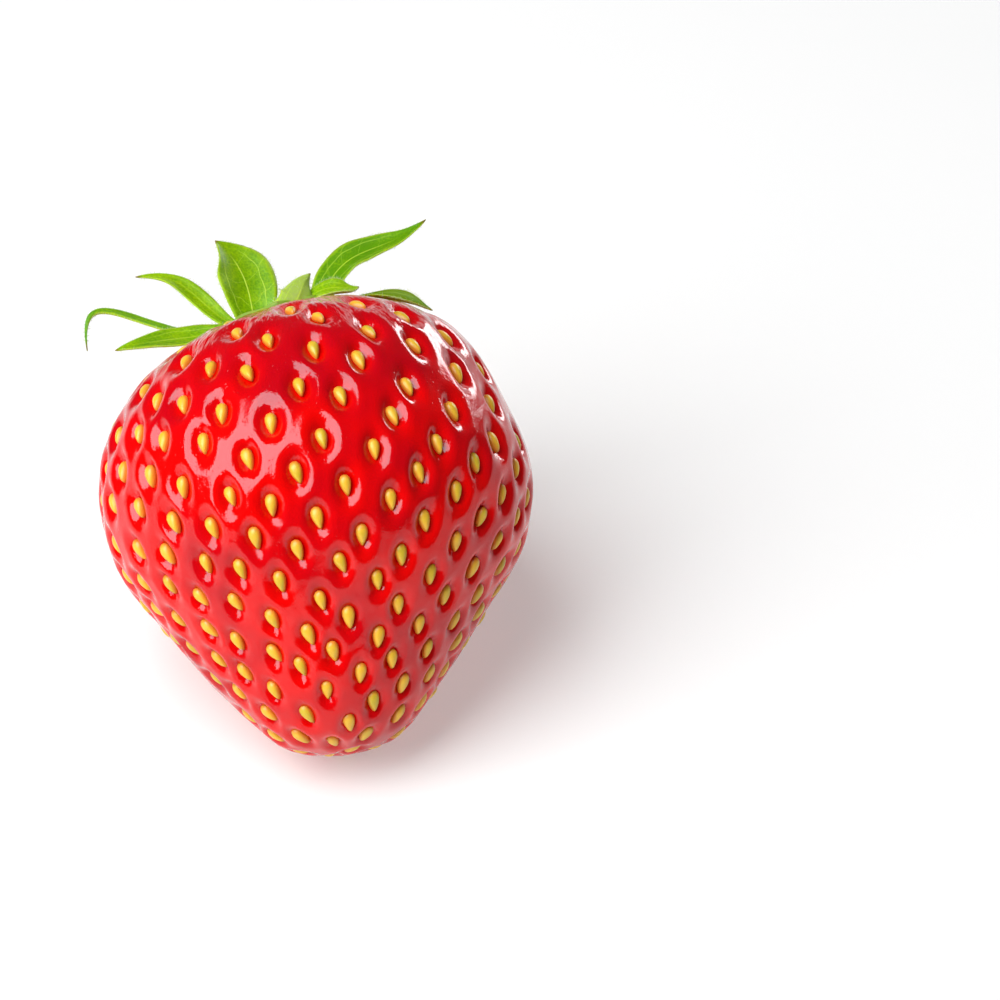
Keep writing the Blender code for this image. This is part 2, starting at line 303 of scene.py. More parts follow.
def set_attribute(mesh, name, values):
    """Keeps a number, or a row of three, at each point of a mesh for the materials to read."""
    values = np.asarray(values, dtype=np.float32)
    kind, key = ("FLOAT", "value") if values.ndim == 1 else ("FLOAT_VECTOR", "vector")
    mesh.attributes.new(name, kind, "POINT").data.foreach_set(key, values.ravel())


def new_material(name, finish):
    """Adds a material. Its finish is the values on the sockets of its main shader."""
    material = bpy.data.materials.new(name)
    material.use_nodes = True
    shader = material.node_tree.nodes["Principled BSDF"]
    for socket, value in finish.items():
        shader.inputs[socket].default_value = value
    return material, material.node_tree, shader


RESULT_SOCKETS = {"Mix": 2, "Attribute": "Fac", "TexCoord": "Object"}    # where it isn't the first one


def add_node(tree, kind, settings=None, links=None):
    """Adds a node and returns its result's socket. Settings are properties by name or input values by
    socket, and links lead to its inputs."""
    node = tree.nodes.new("ShaderNode" + kind)
    for key, value in (settings or {}).items():
        if isinstance(key, str) and hasattr(node, key):
            setattr(node, key, value)
        else:
            node.inputs[key].default_value = value
    for key, source in (links or {}).items():
        tree.links.new(source, node.inputs[key])
    return node.outputs[RESULT_SOCKETS.get(kind, 0)]


def rgba(value):
    return (*value, 1.0)


# ---------------------------------------------------------------- skin

SKIN_CUTS = 127             # splits along each edge of the cube that is blown up to the skin
WALL_PLACE = 0.72           # middle of a pit's wall, as a share of the pit's radius
WALL_POWER = 5.0            # how steep the wall is
COLLAR_PLACE = 1.35         # the raised ring round a pit, as a share of the pit's radius
COLLAR_WIDTH = 0.3
LUMP_SIZE = 7.0             # millimetres from one gentle swelling of the skin to the next
LUMP_WAVES = 10
LUMP_SEED = 11
SEEDS_NEAR = 4              # seeds whose pits and collars can reach a place on the skin
BATCH = 8192                # places that are set against all seeds at once, which keeps the arrays small
MOST_COLLAR = 1.4           # where collars meet they add up to this much at most
UNDER_CALYX = (0.88, 0.93)      # the way to the top over which collars and lumps fade out
CREASE_STRETCH = 0.4        # how short the creases round the calyx are: 0 would run them from top to tip


class SkinSettings(PropertyGroup):
    pit_depth: length("Pit depth", 0.68, "Depth of a full-size pit, from its rim to the foot of its seed")
    collar_rise: length("Collar rise", 0.04, "How far the skin swells round each pit")
    lump_rise: length("Lump rise", 0.1, "Height of the gentle unevenness of the skin")
    ripe: colour("Ripe red", "E40000", "Red of the sunny side")
    # deep: the random darker patches, and also painted shade that deepens the red towards the calyx
    deep: colour("Deep red", "BE0010", "Darker red of the patches in it")
    # pit: painted shade, a darker red inside the pits that is deepest at their floors
    pit: colour("Pit red", "D80000", "Red inside the pits")
    # pale: the paler tissue under the calyx, partly painted sheen along its creases
    pale: colour("Crown", "D8705A", "Pale streaks in the hollow under the calyx")


def cube_ball(cuts):
    """A ball of even quads: a cube with its faces cut up and blown up to unit radius."""
    ball = bmesh.new()
    bmesh.ops.create_cube(ball, size=2.0)
    bmesh.ops.subdivide_edges(ball, edges=ball.edges[:], cuts=cuts, use_grid_fill=True)
    mesh = bpy.data.meshes.new("fruit_skin")
    ball.to_mesh(mesh)
    ball.free()
    places = np.empty(len(mesh.vertices) * 3)
    mesh.vertices.foreach_get("co", places)
    even = np.tan(places.reshape(-1, 3) * math.pi / 4.0)
    return mesh, unit(even)


def nearest_seeds(places, count):
    """The nearest few seeds of each place on the skin, and the place seen from each in its own frame,
    as (across, along) in half-widths and half-lengths of its pit."""
    seeds = smooth_skin(SEEDS)
    rounds, climbs, _ = skin_frames(SEEDS)
    nearest = np.empty((len(places), count), dtype=int)
    for start in range(0, len(places), BATCH):
        part = slice(start, start + BATCH)
        spans = ((places[part, None, :] - seeds[None]) ** 2).sum(axis=2)
        nearest[part] = np.argsort(spans, axis=1)[:, :count]
    away = places[:, None, :] - seeds[nearest]
    across = (away * rounds[nearest]).sum(axis=2)
    along = (away * climbs[nearest]).sum(axis=2)
    scale = PIT_SCALES[nearest]
    return nearest, across / (0.5 * PIT_WIDE * scale), along / (0.5 * PIT_LONG * scale)


def lumps(places):
    """Gentle unevenness, from a few seeded waves in random directions: values within about -1 to 1."""
    draw = np.random.default_rng(LUMP_SEED)
    total = np.zeros(len(places))
    for _ in range(LUMP_WAVES):
        direction = draw.normal(size=3)
        direction /= np.linalg.norm(direction)
        pace = 2.0 * math.pi / (LUMP_SIZE * draw.uniform(0.7, 1.6))
        total += np.sin(places @ direction * pace + draw.uniform(0.0, 2.0 * math.pi))
    return total / math.sqrt(LUMP_WAVES)


def pit_form(ratio):
    """Depth share of a pit at a share of its radius: a flat floor, a steep wall and a soft rim."""
    return 1.0 / (1.0 + (ratio / WALL_PLACE) ** WALL_POWER)


def build_skin(settings):
    mesh, directions = cube_ball(SKIN_CUTS)
    places = smooth_skin(directions)
    _, _, outward = skin_frames(directions)
    nearest, across, along = nearest_seeds(places, SEEDS_NEAR)
    ratio = np.hypot(across, along)
    reach = np.minimum(PIT_SCALES[nearest], 1.0)
    pits = (pit_form(ratio) * reach).max(axis=1)
    collars = (np.exp(-((ratio - COLLAR_PLACE) / COLLAR_WIDTH) ** 2) * reach).sum(axis=1)
    share = way_up(directions)
    bare = 1.0 - smooth_step(share, *UNDER_CALYX)
    rise = (settings.collar_rise / MM * np.minimum(collars, MOST_COLLAR) * bare
            - settings.pit_depth / MM * pits
            + settings.lump_rise / MM * lumps(places) * bare)
    world = to_world(places + outward * rise[:, None])
    mesh.vertices.foreach_set("co", world.ravel())
    set_attribute(mesh, "pit", np.clip(pits, 0.0, 1.0))
    set_attribute(mesh, "share", share)
    turn = np.arctan2(directions[:, 1], directions[:, 0])
    rays = np.stack((np.cos(turn) * RADII.max(), np.sin(turn) * RADII.max(),
                     CREASE_STRETCH * OUTLINE_LENGTH * share), axis=1) * MM
    set_attribute(mesh, "rays", rays)
    mesh.update()
    return mesh


def ripe_skin(settings):
    """Ripe strawberry skin: a thin glossy cuticle over red flesh that lets light in a little. It gives the
    eye a deep even red with crisp lights, which break up into specks at their edges, and fine pale creases
    that run in under the calyx. Shade is painted into the red: it is darker inside the pits and deepens
    towards the calyx. The pale creases are partly the paler tissue there and partly painted sheen."""
    material, tree, shader = new_material("ripe_strawberry_skin", {
        "Roughness": 0.28,
        "IOR": 1.45,
        "Specular IOR Level": 0.02,
        "Coat Weight": 1.0,
        "Coat Roughness": 0.03,
        "Coat IOR": 1.46,
        "Subsurface Weight": 0.15,
        "Subsurface Radius": (1.0, 0.12, 0.08),
        "Subsurface Scale": 1.2 * MM,
    })
    place = add_node(tree, "TexCoord")
    pit = add_node(tree, "Attribute", {"attribute_name": "pit"})
    share = add_node(tree, "Attribute", {"attribute_name": "share"})
    patches = add_node(tree, "TexNoise", {"Scale": 1.0 / (6.0 * MM), "Detail": 2.0}, {"Vector": place})
    # painted shade: the share of the way up adds to the noise, so the red deepens towards the calyx
    upwards = add_node(tree, "MapRange", {"From Min": 0.55, "From Max": 0.85, "To Max": 0.5},
                       {"Value": share})
    patches_and_crown_shade = add_node(tree, "Math", {"operation": "ADD"}, {0: patches, 1: upwards})
    reds = add_node(tree, "MapRange", {"From Min": 0.42, "From Max": 0.75}, {"Value": patches_and_crown_shade})
    flesh = add_node(tree, "Mix", {"data_type": "RGBA", 6: rgba(settings.ripe), 7: rgba(settings.deep)},
                     {0: reds})
    # painted shade: the red darkens with the depth of each pit
    hollow = add_node(tree, "MapRange", {"From Min": 0.1, "From Max": 0.9}, {"Value": pit})
    pit_shaded = add_node(tree, "Mix", {"data_type": "RGBA", 7: rgba(settings.pit)}, {0: hollow, 6: flesh})
    rays = add_node(tree, "Attribute", {"attribute_name": "rays"})
    creases = add_node(tree, "TexNoise", {"Scale": 1.0 / (0.65 * MM), "Detail": 2.0},
                       {"Vector": rays.node.outputs["Vector"]})
    # pale streaks along the creases under the calyx: partly paler tissue, partly painted sheen
    crown = add_node(tree, "MapRange", {"From Min": 0.8, "From Max": 0.94}, {"Value": share})
    streaks = add_node(tree, "MapRange", {"From Min": 0.4, "From Max": 0.7}, {"Value": creases})
    pale_and_sheen_streaks = add_node(tree, "Math", {"operation": "MULTIPLY"}, {0: crown, 1: streaks})
    skin = add_node(tree, "Mix", {"data_type": "RGBA", 7: rgba(settings.pale)}, {0: pale_and_sheen_streaks, 6: pit_shaded})
    tree.links.new(skin, shader.inputs["Base Color"])

    grain = add_node(tree, "TexNoise", {"Scale": 1.0 / (0.17 * MM), "Detail": 1.0}, {"Vector": place})
    pores = add_node(tree, "TexVoronoi", {"Scale": 1.0 / (0.42 * MM)}, {"Vector": place})
    pore = add_node(tree, "MapRange", {"From Min": 0.02, "From Max": 0.24}, {"Value": pores})
    swell = add_node(tree, "TexNoise", {"Scale": 1.0 / (1.5 * MM), "Detail": 1.0}, {"Vector": place})
    waves = add_node(tree, "Bump", {"Strength": 0.6, "Distance": 0.045 * MM}, {"Height": swell})
    shrunk = add_node(tree, "MapRange", {"From Min": 0.68, "From Max": 0.78}, {"Value": share})
    fading = add_node(tree, "Math", {"operation": "MULTIPLY_ADD", 1: -0.65}, {0: crown, 2: shrunk})
    folds = add_node(tree, "Math", {"operation": "MULTIPLY"}, {0: fading, 1: creases})
    creased = add_node(tree, "Bump", {"Strength": 1.0, "Distance": 0.22 * MM},
                       {"Height": folds, "Normal": waves})
    pricked = add_node(tree, "Bump", {"Strength": 1.0, "Distance": 0.011 * MM},
                       {"Height": pore, "Normal": creased})
    cuticle = add_node(tree, "Bump", {"Strength": 1.0, "Distance": 0.01 * MM},
                       {"Height": grain, "Normal": pricked})
    tree.links.new(cuticle, shader.inputs["Normal"])
    tree.links.new(cuticle, shader.inputs["Coat Normal"])
    return material


class STRAWBERRY_OT_skin(Operator):
    """Builds the skin with a pit for every seed"""
    bl_idname = "strawberry.skin"
    bl_label = "Skin"

    def execute(self, context):
        settings = context.scene.strawberry_skin
        mesh = build_skin(settings)
        new_piece("fruit_skin", mesh, "fruit", [ripe_skin(settings)])
        return {"FINISHED"}


# ---------------------------------------------------------------- achenes

ACHENE_TURNS = 14           # points round an achene
ACHENE_RINGS = (-60, -28, 0, 20, 38, 56, 74)    # degrees up from its widest ring, from its foot upwards
ACHENE_SIZES = (0.92, 1.06)     # smallest and largest, against the usual one
ACHENE_LEAN = 10.0          # degrees that the points lean round the fruit, on average
LEAN_SPREAD = 6.0           # by how many degrees that differs from one to the next
NOD_SPREAD = 5.0            # and by how many they tip up or down
DROP_TAPER = 0.45           # how much an achene narrows towards its point
DROP_HALF = 0.46            # half its width, less what the taper adds at its widest place
ROUNDING = 0.85             # how the rings narrow upwards: 1 would be an ellipsoid
PEAK_BACK = 0.04            # how far the highest point stands towards the round end, in millimetres
ACHENE_SINK = 0.12          # how far the widest ring stands over the pit's floor, in millimetres
ACHENE_UNDER = 0.35         # how deep the lowest ring would reach under the widest one
ACHENE_FOOT = 0.33          # how deep the middle of the underside lies under it
ACHENE_SEED = 23


class AcheneSettings(PropertyGroup):
    long: length("Length", 1.9, "Length of an achene")
    wide: length("Width", 1.02, "Width of an achene")
    tall: length("Height", 0.5, "Height of an achene over its widest ring")
    gold: colour("Gold", "ECBA34", "Colour of most achenes")
    green: colour("Green", "C0B228", "Colour of the less ripe ones")
    # amber goes round the foot of every achene, whatever its tone, and is partly painted reflection of the red
    # skin
    amber: colour("Amber", "E08A30", "Colour at the foot and of the ripest ones")


def drop_outline(turn, long, wide):
    """A drop's outline: pointed towards the fruit's tip, round towards its top."""
    taper = 1.0 - DROP_TAPER * np.cos(turn)
    return DROP_HALF * wide * np.sin(turn) * taper, -0.5 * long * np.cos(turn)


def build_achenes(settings):
    """All achenes in one mesh. Each stands on the floor of its pit, turned and sized a little by chance."""
    draw = random.Random(ACHENE_SEED)
    long = settings.long / MM
    wide = settings.wide / MM
    tall = settings.tall / MM
    turn = np.linspace(0.0, 2.0 * math.pi, ACHENE_TURNS, endpoint=False)
    ring_x, ring_y = drop_outline(turn, long, wide)
    points = []
    rims = []
    for degrees in ACHENE_RINGS:
        lean = math.radians(degrees)
        shrink = math.cos(lean) ** ROUNDING
        height = math.sin(lean) * (tall if degrees > 0 else ACHENE_UNDER)
        points.extend(zip(ring_x * shrink, ring_y * shrink, [height] * ACHENE_TURNS))
        rims.extend([math.cos(lean) if degrees > 0 else 1.0] * ACHENE_TURNS)
    points.append((0.0, PEAK_BACK, tall))
    rims.append(0.0)
    points.append((0.0, 0.0, -ACHENE_FOOT))
    rims.append(1.0)
    one = np.array(points)
    top = len(ACHENE_RINGS) * ACHENE_TURNS
    faces = ring_faces(len(ACHENE_RINGS), ACHENE_TURNS, top + 1, top)

    rounds, climbs, outwards = skin_frames(SEEDS)
    feet = smooth_skin(SEEDS)
    depth = bpy.context.scene.strawberry_skin.pit_depth / MM
    verts = []
    all_faces = []
    tones = []
    for number in range(len(SEEDS)):
        size = draw.uniform(*ACHENE_SIZES)
        twist = math.radians(draw.gauss(ACHENE_LEAN, LEAN_SPREAD))
        nod = math.radians(draw.gauss(0.0, NOD_SPREAD))
        spun = np.array(Matrix.Rotation(nod, 3, "X") @ Matrix.Rotation(twist, 3, "Z"))
        local = (one * size) @ spun.T
        floor = ACHENE_SINK - depth * min(PIT_SCALES[number], 1.0)
        place = (feet[number] + local[:, :1] * rounds[number] + local[:, 1:2] * climbs[number]
                 + (local[:, 2:] + floor) * outwards[number])
        start = len(verts)
        verts.extend(place)
        all_faces.extend(tuple(start + index for index in face) for face in faces)
        tones.extend([draw.random()] * len(one))
    mesh = new_mesh("achenes", verts, all_faces)
    set_attribute(mesh, "rim", rims * len(SEEDS))
    set_attribute(mesh, "tone", tones)
    return mesh


def achene_shell(settings):
    """The dry woody shell of an achene, under the same wet gloss: gold with greenish clouds, amber round its
    foot, which is partly painted reflection of the red skin about it. It gives the eye small bright drops
    with a soft light on each."""
    material, tree, shader = new_material("achene_shell", {
        "Roughness": 0.33,
        "Specular IOR Level": 0.5,
        "IOR": 1.5,
        "Subsurface Weight": 0.15,
        "Subsurface Radius": (1.0, 0.6, 0.2),
        "Subsurface Scale": 0.3 * MM,
    })
    place = add_node(tree, "TexCoord")
    tone = add_node(tree, "Attribute", {"attribute_name": "tone"})
    rim = add_node(tree, "Attribute", {"attribute_name": "rim"})
    clouds = add_node(tree, "TexNoise", {"Scale": 1.0 / (0.7 * MM), "Detail": 2.0}, {"Vector": place})
    mottle = add_node(tree, "Math", {"operation": "ADD"}, {0: clouds, 1: tone})
    greener = add_node(tree, "MapRange", {"From Min": 0.95, "From Max": 1.5, "To Max": 0.65},
                       {"Value": mottle})
    shell = add_node(tree, "Mix", {"data_type": "RGBA", 6: rgba(settings.gold), 7: rgba(settings.green)},
                     {0: greener})
    # amber round the foot and lower sides: partly painted reflection of the red skin round the achene
    foot = add_node(tree, "MapRange", {"From Min": 0.6, "From Max": 0.97, "To Max": 0.9}, {"Value": rim})
    amber_foot_and_reflection = add_node(tree, "Mix", {"data_type": "RGBA", 7: rgba(settings.amber)}, {0: foot, 6: shell})
    tree.links.new(amber_foot_and_reflection, shader.inputs["Base Color"])
    ridges = add_node(tree, "TexNoise", {"Scale": 1.0 / (0.18 * MM), "Detail": 2.0}, {"Vector": place})
    bump = add_node(tree, "Bump", {"Strength": 0.5, "Distance": 0.03 * MM}, {"Height": ridges})
    tree.links.new(bump, shader.inputs["Normal"])
    return material


class STRAWBERRY_OT_achenes(Operator):
    """Builds the seeds, one in each pit"""
    bl_idname = "strawberry.achenes"
    bl_label = "Achenes"

    def execute(self, context):
        settings = context.scene.strawberry_achenes
        mesh = build_achenes(settings)
        new_piece("achenes", mesh, "fruit", [achene_shell(settings)])
        return {"FINISHED"}


# ---------------------------------------------------------------- calyx

SEPAL_ROWS = 48
SEPAL_COLUMNS = 16
STEADY = 0.4                # where a blade's way comes this close to its upper direction it isn't turned
SIDE_VEINS_AT = 0.58        # where the two long side veins run, as a share of the half width
MIDRIB_RISE = 0.6           # how much deeper the midrib makes the lower face
MIDRIB_WIDTH = 0.16         # millimetres from the middle over which it falls off
WAVE_PACE = 1.9             # turn of an edge's waves for each millimetre, in radians
EDGES_APART = 2.0           # by which the waves of a sepal's two edges differ, in radians
SEPAL_SEED = 5
HAIR_SEED = 11
HAIR_RADIUS = 0.02          # at a hair's root, in millimetres
HAIR_SINK = 0.05            # how deep a root lies in the sepal
HAIRS_AT_EDGE = 2           # for each row of a sepal's points, on either side
EDGE_HAIRS = (0.2, 0.45)    # shortest and longest, in millimetres
EDGE_STRAY = 0.45           # how unruly they are, against straight outwards
EDGE_DROOP = 0.4            # how far they point down, against outwards
HAIRS_BELOW = 3             # for each row, on the lower face
LOWER_HAIRS = (0.3, 0.5)
LOWER_STRAY = 0.6
DISC_TURNS = 72
DISC_RIBS = 10
RIB_RISE = 0.06             # as a share of the disc's radius
STUB_REACH = 3.0            # nearer to the axis than this there are no ribs


class CalyxSettings(PropertyGroup):
    thick: length("Sepal thickness", 0.34, "Thickness of a sepal at its middle")
    wave: FloatProperty(name="Edge waves", description="Rise of the waves in a sepal's edge, as a share of "
                        "its half width", min=0.0, max=0.3, default=0.03)
    tip: colour("Tip", "7A5E10", "Withered end of a sepal")
    margin: colour("Margin", "C4DC28", "Thin pale margin of the sepals")
    down: colour("Down", "C9D8A0", "Fine hairs on the sepals")
    fresh: colour("Fresh green", "ACD000", "The palest upper faces")
    dark: colour("Dark green", "5A9000", "The deepest upper faces")
    under: colour("Underside", "9CB454", "The matt undersides")
    vein: colour("Veins", "C8E24A", "Midrib and side veins")
    stub: colour("Stub", "A3B43C", "Stalk stub and disc")


def on_top(point):
    """A point of the upright calyx, moved as the fruit's top is: to the side and onto its slope."""
    x, y, z = point
    return Vector((x + TOP_SHIFT, DEPTH * y, z + TOP_SLOPE * x))


def top_height(point):
    """Height of the smooth skin of the fruit's top, below or above a point."""
    across = point.x - TOP_SHIFT
    widest = int(RADII.argmax())
    radius = math.hypot(across, point.y / DEPTH)
    return float(np.interp(radius, RADII[:widest:-1], HEIGHTS[:widest:-1])) + TOP_SLOPE * across


def blade_width(t):
    """Half a sepal's width at share t of its length, as a share of its greatest: ovate, with a long tip."""
    return 0.42 * (1.0 - t) + 0.8 * math.sin(math.pi * t)


def midrib(points, t):
    """Place and direction at share t of the smooth curve that passes four points at even shares."""
    start, third, two_thirds, end = points
    second = (18.0 * third - 5.0 * start - 9.0 * two_thirds + 2.0 * end) / 6.0
    fourth = (18.0 * two_thirds - 5.0 * end - 9.0 * third + 2.0 * start) / 6.0
    s = 1.0 - t
    place = s ** 3 * start + 3.0 * s * s * t * second + 3.0 * s * t * t * fourth + t ** 3 * end
    ahead = s * s * (second - start) + 2.0 * s * t * (fourth - second) + t * t * (end - fourth)
    return place, ahead.normalized()


def sepal_points(values, wave, phase):
    """Rows of (place, upper side's direction, share of the length, share of the half width, way from the
    root, half width) of one sepal's middle sheet, in millimetres."""
    root_turn, third, two_thirds, tip, half_width, facing = values
    radius, height = SEPAL_ROOT
    root_turn = math.radians(root_turn)
    facing = math.radians(facing)
    root = on_top((radius * math.cos(root_turn), radius * math.sin(root_turn), height))
    points = (root, Vector(third), Vector(two_thirds), Vector(tip))
    upper = Vector((math.cos(facing), math.sin(facing), FACE_RISE))
    travelled = 0.0
    last = root
    for row in range(SEPAL_ROWS + 1):
        share = row / SEPAL_ROWS
        middle, ahead = midrib(points, share)
        travelled += (middle - last).length
        last = middle
        turned = ahead.cross(upper)
        if row == 0 or turned.length > STEADY:
            across = turned.normalized()
        face = across.cross(ahead)
        reach = half_width * blade_width(share) + TIP_HALF_WIDTH
        for column in range(SEPAL_COLUMNS + 1):
            side = 2.0 * column / SEPAL_COLUMNS - 1.0
            lift = CUP * side * side
            turn = WAVE_PACE * travelled + phase + (EDGES_APART if side > 0.0 else 0.0)
            lift += wave * side * side * math.sin(turn)
            place = middle + across * side * reach + face * lift * reach
            place.z = max(place.z, top_height(place) + SEPAL_CLEAR)
            yield place, face, share, side, travelled, reach


def half_thickness(share, side):
    """Half a sepal's thickness as a share of its greatest: rounded off to nothing at edges and tip."""
    return math.sqrt(max(1.0 - abs(side) ** 5, 0.0)) * math.sqrt(max(1.0 - share ** 6, 0.0))


def build_sepals(settings):
    """All sepals in one mesh. Each is two fine grids that meet at its edges, an upper and a lower face,
    with the place on the blade kept at each point for the veins."""
    draw = random.Random(SEPAL_SEED)
    half = 0.5 * settings.thick / MM
    verts = []
    faces = []
    layers = {"along": [], "across": [], "share": [], "reach": [], "tone": []}

    def add_point(place, share, side, along, reach, tone):
        verts.append(place)
        for name, value in zip(layers, (along, side * reach, share, reach, tone)):
            layers[name].append(value)
        return len(verts) - 1

    width = SEPAL_COLUMNS + 1
    for values, tone in zip(SEPALS, SEPAL_TONES):
        upper = []
        lower = []
        for place, face, share, side, along, reach in sepal_points(values, settings.wave, draw.uniform(0, 6)):
            rise = face * half * half_thickness(share, side)
            upper.append(add_point(place + rise, share, side, along, reach, tone))
            if abs(side) == 1.0 or share in (0.0, 1.0):
                lower.append(upper[-1])
                continue
            midrib_depth = 1.0 + MIDRIB_RISE * math.exp(-(side * reach / MIDRIB_WIDTH) ** 2)
            lower.append(add_point(place - midrib_depth * rise, share, side, along, reach, tone))
        for row in range(SEPAL_ROWS):
            for column in range(SEPAL_COLUMNS):
                a = row * width + column
                corners = (a, a + 1, a + width + 1, a + width)
                faces.append(tuple(upper[corner] for corner in reversed(corners)))
                faces.append(tuple(lower[corner] for corner in corners))
    mesh = new_mesh("sepals", verts, faces)
    mesh.polygons.foreach_set("material_index", [number % 2 for number in range(len(faces))])
    for name, values in layers.items():
        set_attribute(mesh, name, values)
    return mesh


def build_hairs(settings):
    """Short fine hairs in one mesh: a fringe along each sepal's edges, and down on its lower face."""
    draw = random.Random(HAIR_SEED)
    verts = []
    faces = []

    def add_hair(root, way, long):
        way = way.normalized()
        sideways = way.orthogonal().normalized()
        start = len(verts)
        for third in range(3):
            around = Matrix.Rotation(2.0 * math.pi * third / 3.0, 3, way) @ sideways
            verts.append(root - way * HAIR_SINK + around * HAIR_RADIUS)
        verts.append(root + way * long)
        faces.extend(((start, start + 1, start + 3), (start + 1, start + 2, start + 3),
                      (start + 2, start, start + 3)))

    for values in SEPALS:
        points = list(sepal_points(values, settings.wave, 0.0))
        width = SEPAL_COLUMNS + 1
        for row in range(2, SEPAL_ROWS - 1):
            line = points[row * width:(row + 1) * width]
            down = -line[SEPAL_COLUMNS // 2][1]
            for edge, inner in ((line[0], line[1]), (line[-1], line[-2])):
                for _ in range(HAIRS_AT_EDGE):
                    outwards = (edge[0] - inner[0]).normalized()
                    stray = Vector([draw.gauss(0.0, EDGE_STRAY) for _ in range(3)])
                    add_hair(edge[0], outwards + EDGE_DROOP * down + stray, draw.uniform(*EDGE_HAIRS))
            for _ in range(HAIRS_BELOW):
                at = draw.choice(line[1:-1])
                stray = Vector([draw.gauss(0.0, LOWER_STRAY) for _ in range(3)])
                add_hair(at[0], down + stray, draw.uniform(*LOWER_HAIRS))
    return new_mesh("sepal_hairs", verts, faces)


def sepal_down(settings):
    """The sepals' silvery down. It softens their edges and dulls the lower faces."""
    material, _, _ = new_material("sepal_down", {
        "Base Color": rgba(settings.down),
        "Roughness": 0.5,
        "Specular IOR Level": 0.3,
    })
    return material


